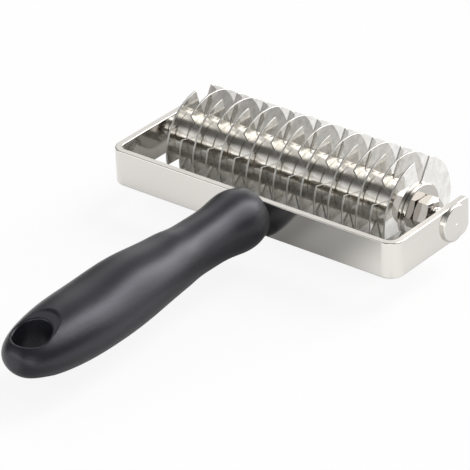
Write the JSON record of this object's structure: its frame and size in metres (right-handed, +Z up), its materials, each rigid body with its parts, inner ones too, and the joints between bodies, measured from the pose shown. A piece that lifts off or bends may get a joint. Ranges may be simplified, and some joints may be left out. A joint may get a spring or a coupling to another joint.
{
  "type": "lattice roller cutter",
  "caption": "Hand roller with a stack of notched steel discs in a bent steel bar and a black grip, for cutting lattice slits in rolled dough.",
  "frame": {"origin": "under the middle of the whole tool, level with the lowest point of the discs, with the flat of the bar upright", "axes": "+X along the roller's axis towards the axle's flat head, +Y from the handle towards the roller, +Z up"},
  "size_m": [0.1486, 0.2046, 0.0455],
  "materials": {
    "satin_stainless": "bent flat bar, satin ground",
    "polished_blade": "stamped strip, mirror polished",
    "turned_stainless": "turned rod, fine lathe lines",
    "plated_steel": "standard fastener, bright plated",
    "brass_insert": "turned",
    "black_grip": "moulded polypropylene, satin"
  },
  "bodies": {
    "frame": {"u_frame": "satin_stainless", "roller_axle": "satin_stainless", "axle_collars": "turned_stainless", "handle_screw": "plated_steel", "handle_insert": "brass_insert", "handle_grip": "black_grip"},
    "roller": {"roller_sleeve": "plated_steel", "clamp_washers": "plated_steel", "clamp_nuts": "plated_steel", "blade_01": "polished_blade", "blade_02": "polished_blade", "blade_03": "polished_blade", "blade_04": "polished_blade", "blade_05": "polished_blade", "blade_06": "polished_blade", "blade_07": "polished_blade", "blade_08": "polished_blade", "blade_09": "polished_blade", "blade_10": "polished_blade", "blade_11": "polished_blade", "blade_12": "polished_blade", "blade_13": "polished_blade", "blade_14": "polished_blade", "blade_15": "polished_blade", "blade_16": "polished_blade", "blade_17": "polished_blade", "spacer_01": "turned_stainless", "spacer_02": "turned_stainless", "spacer_03": "turned_stainless", "spacer_04": "turned_stainless", "spacer_05": "turned_stainless", "spacer_06": "turned_stainless", "spacer_07": "turned_stainless", "spacer_08": "turned_stainless", "spacer_09": "turned_stainless", "spacer_10": "turned_stainless", "spacer_11": "turned_stainless", "spacer_12": "turned_stainless", "spacer_13": "turned_stainless", "spacer_14": "turned_stainless", "spacer_15": "turned_stainless", "spacer_16": "turned_stainless"}
  },
  "joints": [
    {"name": "roller_spin", "type": "hinge", "parent": "frame", "child": "roller", "pos_m": [-0.0005, 0.07958, 0.02275], "axis": [1, 0, 0], "continuous": true}
  ]
}
